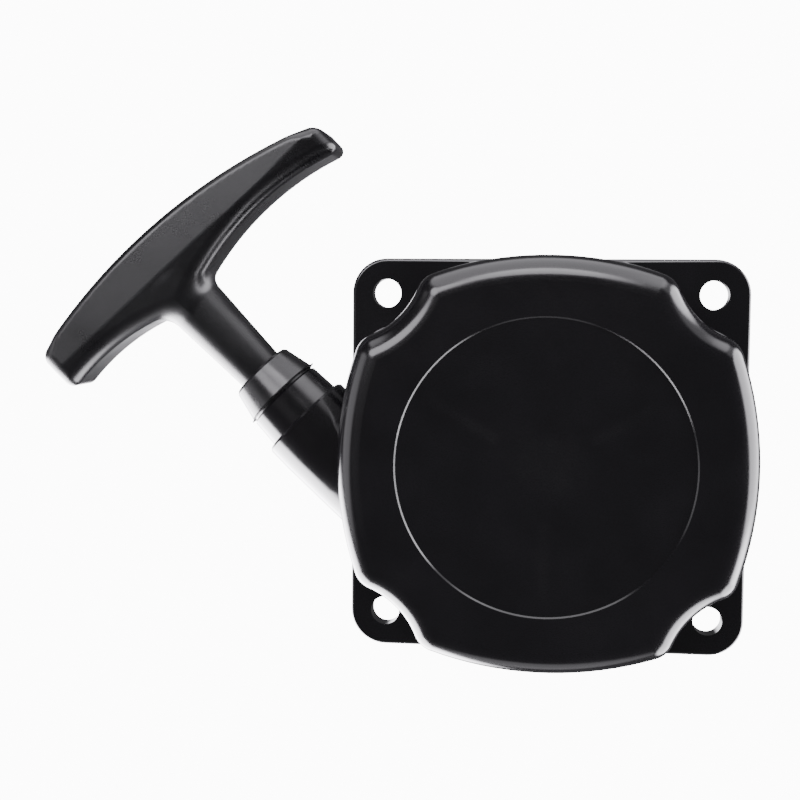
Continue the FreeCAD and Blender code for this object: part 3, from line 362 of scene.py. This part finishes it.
def sintered_bronze():
    shader = Shader("sintered_bronze", 0.42, metallic=1.0)
    shader.colours(shader.noise(900, 4), [(0.3, (0.16, 0.09, 0.04)), (0.7, (0.30, 0.19, 0.10))])
    shader.bump(shader.noise(2500, 2), 0.25, 0.0001)
    return shader.material


def braided_rope():
    """Dark polyester: the fibres as bump and shade. The braid's strands are in the mesh."""
    shader = Shader("braided_rope", 0.75)
    shader.principled.inputs["Sheen Weight"].default_value = 0.3
    strands = shader.tree.nodes.new("ShaderNodeTexVoronoi")
    strands.inputs["Scale"].default_value = 900
    shader.tree.links.new(shader.place, strands.inputs["Vector"])
    shader.colours(strands.outputs["Distance"], [(0.0, (0.06, 0.06, 0.066)), (0.6, (0.016, 0.016, 0.018))])
    shader.bump(strands.outputs["Distance"], 0.6, 0.0003)
    return shader.material


MATERIALS = {
    "housing_plastic": glossy_black(),
    "guide_plastic": guide_black(),
    "grip_plastic": satin_black(),
    "rope": braided_rope(),
    "reel_nylon": natural_nylon(),
    "bronze": sintered_bronze(),
    "brass_insert": brushed("turned_brass", (0.34, 0.22, 0.08), (0.44, 0.32, 0.14), 0.28),
    "zinc_steel": brushed("zinc_steel", (0.24, 0.24, 0.235), (0.31, 0.31, 0.30), 0.27),
    "cam_steel": brushed("cam_steel", (0.14, 0.138, 0.132), (0.20, 0.197, 0.187), 0.34, 0.16),
    "pawl_steel": brushed("pawl_steel", (0.08, 0.08, 0.084), (0.13, 0.13, 0.134), 0.4, 0.16),
    "spring_steel": brushed("spring_steel", (0.09, 0.095, 0.11), (0.14, 0.146, 0.16), 0.3),
}


def finish_cad_nodes():
    for part in frame["record"]["subparts"]:
        mesh = NODES[part["node"]].data
        mesh.materials.clear()
        mesh.materials.append(MATERIALS[part["material_slot"]])


finish_cad_nodes()

# ---------------------------------------------------------------- the rope's line

ROPE_LEVEL = 13.0
ROPE_OFFSET = 36.8
DIAGONAL = math.sqrt(0.5)
ROPE_START = Vector((-ROPE_OFFSET * DIAGONAL, -ROPE_OFFSET * DIAGONAL, ROPE_LEVEL))
ROPE_WAY = Vector((-DIAGONAL, DIAGONAL, 0))
ACROSS = Vector((DIAGONAL, DIAGONAL, 0))
UP = Vector((0, 0, 1))


def on_rope(across, along, up=0.0):
    """A place in the object, in metres, from millimetres across, along and above the rope's line."""
    return (ROPE_START + ACROSS * across + ROPE_WAY * along + UP * up) * MM


def new_piece(name, vertices, faces, body, slot, stands_for=(), normals=None):
    mesh = bpy.data.meshes.new(name)
    mesh.from_pydata([tuple(vertex) for vertex in vertices], [], faces)
    mesh.validate()
    mesh.update()
    mesh.polygons.foreach_set("use_smooth", [True] * len(mesh.polygons))
    if normals is not None:
        mesh.normals_split_custom_set_from_vertices(normals)
    piece = bpy.data.objects.new(name, mesh)
    SCENE.collection.objects.link(piece)
    mesh.materials.append(MATERIALS[slot])
    if body:
        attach(piece, body)
    if stands_for:
        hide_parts(*stands_for)
    return piece


# ---------------------------------------------------------------- grip

# In millimetres, from the rope's line. Each arc is given by three points, (across, along).
GRIP_HALF_DEPTH = 9.7
GRIP_LEFT, GRIP_RIGHT = -38.0, 55.1
OUTER_ARC = ((-38.0, 109.9), (7.4, 112.6), (55.1, 100.6))
LEFT_SCALLOP = ((-38.0, 97.7), (-20.0, 97.7), (-1.3, 91.5))
RIGHT_SCALLOP = ((-1.3, 91.5), (27.0, 96.9), (55.1, 91.6))
RIDGE_AT_ROPE, RIDGE_SLANT = 102.2, -0.047
OUTER_SLOPE, INNER_SLOPE = math.tan(math.radians(4.6)), math.tan(math.radians(5.2))
STEM_TIP, STEM_ROOT = 65.4, 89.0
STEM_TIP_RADIUS, STEM_ROOT_RADIUS = 6.1, 7.25
STEM_TIP_ROUND, STEM_END, STEM_FILLET = 0.7, 100.0, 3.2
STEM_BORE, POCKET_RADIUS, POCKET_FLOOR = 2.2, 5.6, 91.8    # the washer keeps 0.2 clear of the floor
OUTER_CORNER_ROUND, INNER_CORNER_ROUND = 2.6, 2.8          # the outline's corners
THIN_EDGE, THICK_EDGE = 1.9, 4.0                           # rounding of the long edges and the ends
RIDGE_BLEND = 3
THICK_FROM, THICK_FULL = 4.0, 8.0                          # distances from the outer arc
END_EDGE_FROM, END_EDGE_FULL = -8.0, -2.0                  # distances from the ends
GRIP_STEP, QUICK_GRIP_STEP = 0.55, 1.1
END_MARGIN, DEPTH_MARGIN, TIP_MARGIN, GRIP_TOP = 1.3, 1.2, 4, 118.0
FIRST_PROJECTIONS, RELAXINGS, LATER_PROJECTIONS = 8, 12, 2
RELAX_SHARE, LONGEST_MOVE = 0.5, 0.4


def circle_through(points):
    """The centre and radius of the circle through three points."""
    (ax, ay), (bx, by), (cx, cy) = points
    d = 2 * (ax * (by - cy) + bx * (cy - ay) + cx * (ay - by))
    a2, b2, c2 = ax * ax + ay * ay, bx * bx + by * by, cx * cx + cy * cy
    x = (a2 * (by - cy) + b2 * (cy - ay) + c2 * (ay - by)) / d
    y = (a2 * (cx - bx) + b2 * (ax - cx) + c2 * (bx - ax)) / d
    return x, y, math.hypot(ax - x, ay - y)


def rounded_both(a, b, radius):
    """The space inside both surfaces, with their edge rounded to radius."""
    inner = np.minimum(np.maximum(a, b), -radius)
    return inner + np.hypot(np.maximum(a + radius, 0), np.maximum(b + radius, 0))


def filleted_either(a, b, radius):
    """The space inside either surface, with a fillet of radius where they meet."""
    outer = np.maximum(np.minimum(a, b), radius)
    return outer - np.hypot(np.maximum(radius - a, 0), np.maximum(radius - b, 0))


def ramp(value, low, high):
    """0 below low and 1 above high, with a smooth rise between."""
    part = np.clip((value - low) / (high - low), 0, 1)
    return part * part * (3 - 2 * part)


def outside_grip(across, along, up):
    """About how far each point is outside the grip, in millimetres, and less than zero inside it."""
    x, y, radius = circle_through(OUTER_ARC)
    outer = np.hypot(across - x, along - y) - radius
    scallops = []
    for arc in (LEFT_SCALLOP, RIGHT_SCALLOP):
        x, y, radius = circle_through(arc)
        scallops.append(radius - np.hypot(across - x, along - y))
    inner = np.maximum(*scallops)
    ends = np.maximum(GRIP_LEFT - across, across - GRIP_RIGHT)
    outline = rounded_both(rounded_both(outer, ends, OUTER_CORNER_ROUND), inner, INNER_CORNER_ROUND)
    off_ridge = along - (RIDGE_AT_ROPE + RIDGE_SLANT * across)
    slope = np.where(off_ridge > 0, OUTER_SLOPE * off_ridge, -INNER_SLOPE * off_ridge)
    faces = np.abs(up) - GRIP_HALF_DEPTH + slope
    inner_side = ramp(-off_ridge, -RIDGE_BLEND, RIDGE_BLEND)
    edge = THIN_EDGE + (THICK_EDGE - THIN_EDGE) * inner_side * ramp(np.abs(outer), THICK_FROM, THICK_FULL)
    near_end = ramp(ends, END_EDGE_FROM, END_EDGE_FULL)
    edge = edge + (THICK_EDGE - edge) * near_end
    crescent = rounded_both(outline, faces, edge)
    from_line = np.hypot(across, up)
    part = np.clip((along - STEM_TIP) / (STEM_ROOT - STEM_TIP), 0, 1.3)
    stem = from_line - (STEM_TIP_RADIUS + (STEM_ROOT_RADIUS - STEM_TIP_RADIUS) * part)
    stem = rounded_both(stem, np.maximum(STEM_TIP - along, along - STEM_END), STEM_TIP_ROUND)
    whole = filleted_either(crescent, stem, STEM_FILLET)
    bore = np.maximum(from_line - STEM_BORE, along - POCKET_FLOOR - 1)
    pocket = np.maximum(from_line - POCKET_RADIUS, POCKET_FLOOR - along)
    return np.maximum(whole, -np.minimum(bore, pocket))


def slopes_of(distance, points, step=0.02):
    """How fast distance grows along each axis at each point."""
    columns = []
    for axis in range(3):
        shift = np.zeros(3)
        shift[axis] = step
        ahead, behind = points + shift, points - shift
        columns.append((distance(*ahead.T) - distance(*behind.T)) / (2 * step))
    return np.stack(columns, axis=1)


def onto_surface(distance, points, rounds):
    """Moves points down the slope until distance is near zero."""
    for _ in range(rounds):
        slopes = slopes_of(distance, points)
        steepness = np.maximum((slopes ** 2).sum(axis=1), 1e-6)
        move = (distance(*points.T) / steepness)[:, None] * slopes
        points = points - np.clip(move, -LONGEST_MOVE, LONGEST_MOVE)
    return points


def surface_of(distance, low, high, step):
    """A mesh of quads on the surface where distance is zero: one vertex in each cell that it crosses."""
    counts = [int(math.ceil((h - l) / step)) + 1 for l, h in zip(low, high)]
    axes = [l + step * np.arange(count) for l, count in zip(low, counts)]
    grid = np.meshgrid(*axes, indexing="ij")
    values = distance(*grid)
    inside = values < 0
    corners = [(i, j, k) for i in (0, 1) for j in (0, 1) for k in (0, 1)]
    cells = tuple(count - 1 for count in counts)
    total = sum(
        inside[tuple(slice(start, start + count) for start, count in zip(corner, cells))].astype(int)
        for corner in corners
    )
    crossed = (total > 0) & (total < 8)
    number = -np.ones(cells, dtype=int)
    number[crossed] = np.arange(crossed.sum())
    places = np.argwhere(crossed)
    points = np.array(low) + (places + 0.5) * step
    faces = []
    for axis in range(3):
        one, two = [other for other in range(3) if other != axis]
        ahead = [slice(None)] * 3
        behind = [slice(None)] * 3
        ahead[axis], behind[axis] = slice(1, None), slice(None, -1)
        change = inside[tuple(ahead)].astype(int) - inside[tuple(behind)].astype(int)
        for place in np.argwhere(change != 0):
            if any(place[other] == 0 or place[other] >= cells[other] for other in (one, two)):
                continue
            ring = []
            for back_one, back_two in ((0, 0), (1, 0), (1, 1), (0, 1)):
                cell = list(place)
                cell[one] -= back_one
                cell[two] -= back_two
                ring.append(int(number[tuple(cell)]))
            flip = (change[tuple(place)] > 0) == (axis != 1)
            faces.append(tuple(ring[::-1] if flip else ring))
    points = onto_surface(distance, points, FIRST_PROJECTIONS)
    # each vertex moves towards the middle of its neighbours and then back to the surface,
    # which evens out the quads
    quads = np.array(faces)
    edges = np.concatenate([quads[:, [a, b]] for a, b in ((0, 1), (1, 2), (2, 3), (3, 0))])
    shares = np.bincount(edges[:, 0], minlength=len(points)).astype(float)[:, None]
    for _ in range(RELAXINGS):
        sums = np.zeros_like(points)
        np.add.at(sums, edges[:, 0], points[edges[:, 1]])
        points = points + RELAX_SHARE * (sums / shares - points)
        points = onto_surface(distance, points, LATER_PROJECTIONS)
    return points, faces


def make_grip():
    """The grip's mesh, on a slanted grid that has a row of vertices along the ridge."""
    step = GRIP_STEP
    half_cell = 0.5 * step
    rows_below = math.ceil((RIDGE_AT_ROPE - STEM_TIP + TIP_MARGIN) / step)
    lowest_row = RIDGE_AT_ROPE - rows_below * step - half_cell
    low = (GRIP_LEFT - END_MARGIN, lowest_row, -GRIP_HALF_DEPTH - DEPTH_MARGIN)
    high = (GRIP_RIGHT + END_MARGIN, GRIP_TOP, GRIP_HALF_DEPTH + DEPTH_MARGIN)

    def slanted(across, along, up):
        return outside_grip(across, along + RIDGE_SLANT * across, up)

    points, faces = surface_of(slanted, low, high, step)
    points[:, 1] += RIDGE_SLANT * points[:, 0]
    normals = slopes_of(outside_grip, points)
    normals /= np.maximum(np.linalg.norm(normals, axis=1), 1e-9)[:, None]
    vertices = [on_rope(*point) for point in points.tolist()]
    turned = [ACROSS * n[0] + ROPE_WAY * n[1] + UP * n[2] for n in normals.tolist()]
    # across, along and up are a right-handed set, so the faces keep their way round
    new_piece("grip_body", vertices, faces, "grip", "grip_plastic", ["grip"], turned)


# ---------------------------------------------------------------- rope

# In millimetres and degrees. A lay is the length in which a strand goes round the rope once.
ROPE_RADIUS = 1.75
COIL_STEP = 1.8
COIL_HALF_TURNS = 9
COIL_START = 225.0
COIL_END_BEND = 4.2
COIL_DEGREES_A_STEP, COIL_TAIL = 6, 0.8
STRANDS, STRAND_SIDES = 8, 5
STRAND_RADIUS, STRAND_FLATNESS = 0.62, 0.5
STRAND_DEPTH, WEAVE_DEPTH, CORE_SHARE = 0.46, 0.12, 0.72
COIL_LAY, COIL_STEPS_A_LAY = 9.0, 11
RUN_LAY, RUN_STEPS_A_LAY, RUN_STEPS, RUN_END = 1.5, 10, 90, 93.2
GRIP_KNOT_SIZE, REEL_KNOT_SIZE = 3.3, 3.0
KNOT_POINTS, KNOT_STRANDS, KNOT_TWISTS = 72, 6, 5


def frames_along(path):
    """Points with a tangent and two directions across it, turned as little as possible."""
    rows = []
    across = None
    for index, point in enumerate(path):
        tangent = (path[min(index + 1, len(path) - 1)] - path[max(index - 1, 0)]).normalized()
        if across is None:
            across = tangent.orthogonal().normalized()
        across = (across - tangent * across.dot(tangent)).normalized()
        rows.append((point, tangent, across, tangent.cross(across)))
    return rows


def tube_mesh(path, radius, sides, flat=1.0, outward=None, closed=False):
    """A tube along a path. outward gives each point's own direction in which it is flattened."""
    rows = frames_along(path)
    vertices, faces = [], []
    for index, (point, tangent, one, two) in enumerate(rows):
        if outward:
            one = (outward[index] - tangent * outward[index].dot(tangent)).normalized()
            two = tangent.cross(one)
        for side in range(sides):
            angle = 2 * math.pi * side / sides
            vertices.append(point + one * math.cos(angle) * radius * flat + two * math.sin(angle) * radius)
    rings = len(rows)
    for index in range(rings if closed else rings - 1):
        a, b = index * sides, (index + 1) % rings * sides
        for side in range(sides):
            nearby = (side + 1) % sides
            faces.append((a + side, a + nearby, b + nearby, b + side))
    if not closed:
        faces.append(tuple(range(sides))[::-1])
        faces.append(tuple(range((rings - 1) * sides, rings * sides)))
    return vertices, faces


def add_mesh(whole, more):
    vertices, faces = whole
    shift = len(vertices)
    vertices.extend(more[0])
    faces.extend(tuple(index + shift for index in face) for face in more[1])


def braid(path, lay, steps):
    """Strands that wind both ways round a path, over and under each other, with steps points to a lay."""
    rows = frames_along(path)
    spots = [0.0]
    for before, after in zip(path, path[1:]):
        spots.append(spots[-1] + (after - before).length)
    whole = tube_mesh(path, ROPE_RADIUS * CORE_SHARE, 8)
    count = max(8, int(spots[-1] / lay * steps))
    for strand in range(STRANDS):
        way = 1 if strand % 2 else -1
        first = strand // 2 * 2 * math.pi / (STRANDS // 2)
        line, outward = [], []
        row = 0
        for step in range(count + 1):
            at = spots[-1] * step / count
            while row < len(spots) - 2 and spots[row + 1] < at:
                row += 1
            part = (at - spots[row]) / (spots[row + 1] - spots[row])
            point, tangent, one, two = (a.lerp(b, part) for a, b in zip(rows[row], rows[row + 1]))
            angle = first + way * 2 * math.pi * at / lay
            half_turn = math.pi if way > 0 else 0
            weave = math.sin(4 * math.pi * at / lay * (STRANDS // 4) + half_turn + first * 2)
            out = one * math.cos(angle) + two * math.sin(angle)
            line.append(point + out * (ROPE_RADIUS - STRAND_DEPTH + WEAVE_DEPTH * weave))
            outward.append(out)
        add_mesh(whole, tube_mesh(line, STRAND_RADIUS, STRAND_SIDES, STRAND_FLATNESS, outward))
    return whole


def coil_path():
    """The middle of the rope on the reel: half circles, each smaller than the last, and the bend inwards."""
    path = []
    for index in range(COIL_HALF_TURNS):
        radius = ROPE_OFFSET - COIL_STEP * index
        shift = COIL_STEP if index % 2 else 0.0
        centre_angle = math.radians(COIL_START + 180)
        centre = Vector((math.cos(centre_angle), math.sin(centre_angle), 0)) * shift
        for degrees in range(0, 180, COIL_DEGREES_A_STEP):
            angle = math.radians(COIL_START + 180 * index + degrees)
            path.append(centre + Vector((math.cos(angle), math.sin(angle), 0)) * radius + UP * ROPE_LEVEL)
    last = centre + ACROSS * radius + UP * ROPE_LEVEL
    bend_centre = last - ACROSS * COIL_END_BEND
    for degrees in range(0, 91, 15):
        angle = math.radians(45 + degrees)
        path.append(bend_centre + Vector((math.cos(angle), math.sin(angle), 0)) * COIL_END_BEND)
    path.append(path[-1] - ACROSS * COIL_TAIL)
    return path


def in_metres(mesh):
    vertices, faces = mesh
    return [vertex * MM for vertex in vertices], faces


def stopper_knot(centre, heading, size):
    """An overhand stopper knot pulled tight, as a closed braided loop."""
    one = heading.orthogonal().normalized()
    two = heading.cross(one)
    cord = 0.41 * size
    wide = (size - cord) / 3
    path = []
    for index in range(KNOT_POINTS):
        t = 2 * math.pi * index / KNOT_POINTS
        x = math.sin(t) + 2 * math.sin(2 * t)
        y = math.cos(t) - 2 * math.cos(2 * t)
        rise = heading * -math.sin(3 * t) * (size - cord) * 0.62
        path.append(centre + one * x * wide + two * y * wide + rise)
    whole = tube_mesh(path, cord * 0.9, 10, closed=True)
    path.append(path[0].copy())
    rows = frames_along(path)
    for strand in range(KNOT_STRANDS):
        line, outward = [], []
        for index, (point, _, a, b) in enumerate(rows):
            angle = 2 * math.pi * (strand / KNOT_STRANDS + index / KNOT_POINTS * KNOT_TWISTS)
            out = a * math.cos(angle) + b * math.sin(angle)
            line.append(point + out * cord * 0.82)
            outward.append(out)
        add_mesh(whole, tube_mesh(line, cord * 0.36, 5, 0.5, outward))
    return whole


def make_pawl_springs():
    """The pawls' wire springs, as smooth-shaded copies of the CAD springs that they hide. On the real reel
    one leg turns with the pawl and the other stays in the reel; these copies are not moved with either.
    """
    for number in (1, 2):
        node = f"pawl_spring_{number}"
        mesh = NODES[node].data.copy()
        mesh.name = f"pawl_spring_wire_{number}"
        mesh.polygons.foreach_set("use_smooth", [True] * len(mesh.polygons))
        wire = bpy.data.objects.new(mesh.name, mesh)
        SCENE.collection.objects.link(wire)
        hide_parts(node)
        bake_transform(wire)


def add_knot(name, node, heading, size, body):
    """A knot in the middle of the CAD node that it replaces."""
    low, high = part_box(node)
    centre = (Vector(low) + Vector(high)) / 2 / MM
    new_piece(name, *in_metres(stopper_knot(centre, heading, size)), body, "rope", [node])


def make_rope():
    coil = braid(coil_path(), COIL_LAY, COIL_STEPS_A_LAY)
    new_piece("rope_turns", *in_metres(coil), "reel", "rope", ["rope_coil"])
    start, end = ROPE_START, ROPE_START + ROPE_WAY * RUN_END
    # At full pull the run is about nine times as long, and the strands then have their real lay.
    path = [start.lerp(end, index / RUN_STEPS) for index in range(RUN_STEPS + 1)]
    braided = in_metres(braid(path, RUN_LAY, RUN_STEPS_A_LAY))
    run = new_piece("rope_pulled", *braided, None, "rope", ["rope_run"])
    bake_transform(run)
    add_knot("grip_stopper_knot", "rope_grip_knot", ROPE_WAY, GRIP_KNOT_SIZE, "rope_end")
    add_knot("reel_stopper_knot", "rope_reel_knot", ACROSS, REEL_KNOT_SIZE, "reel")


# ---------------------------------------------------------------- moulding flash at the guide's joint

FLASH_AT = 59.45                # along the rope's line, in millimetres
FLASH_ROOT, FLASH_REACH = 9.3, 10.28
FLASH_SIDES, FLASH_SEED = 160, 11
FLASH_UNEVEN = 0.12
PARTING_REACH, PARTING_UNEVEN, PARTING_FROM = 0.25, 0.75, 0.93
# the lip's section: at the root or at its edge, and how far along from its middle
FLASH_SECTION = ((False, -0.13), (True, -0.05), (True, 0.03), (False, 0.13))


def make_guide_flash():
    """The thin, uneven lip that the mould left round the joint between the neck and the guide."""
    luck = random.Random(FLASH_SEED)
    sides = FLASH_SIDES
    bumps = [luck.uniform(0, 1) for _ in range(sides)]
    vertices, faces = [], []
    for index in range(sides):
        angle = 2 * math.pi * index / sides
        near_parting = max(0.0, abs(math.cos(angle)) - PARTING_FROM) / (1 - PARTING_FROM)
        uneven = sum(bumps[(index + step) % sides] for step in range(4)) / 4
        at_parting = near_parting * (PARTING_REACH + PARTING_UNEVEN * uneven)
        reach = FLASH_REACH + FLASH_UNEVEN * uneven + at_parting
        for at_edge, shift in FLASH_SECTION:
            radius = reach if at_edge else FLASH_ROOT
            place = on_rope(radius * math.cos(angle), FLASH_AT + shift, radius * math.sin(angle))
            vertices.append(place)
    for index in range(sides):
        a, b = 4 * index, 4 * ((index + 1) % sides)
        for step in range(4):
            after = (step + 1) % 4
            faces.append((a + step, a + after, b + after, b + step))
    new_piece("guide_flash", vertices, faces, "housing", "guide_plastic")


make_grip()
make_rope()
make_pawl_springs()
make_guide_flash()
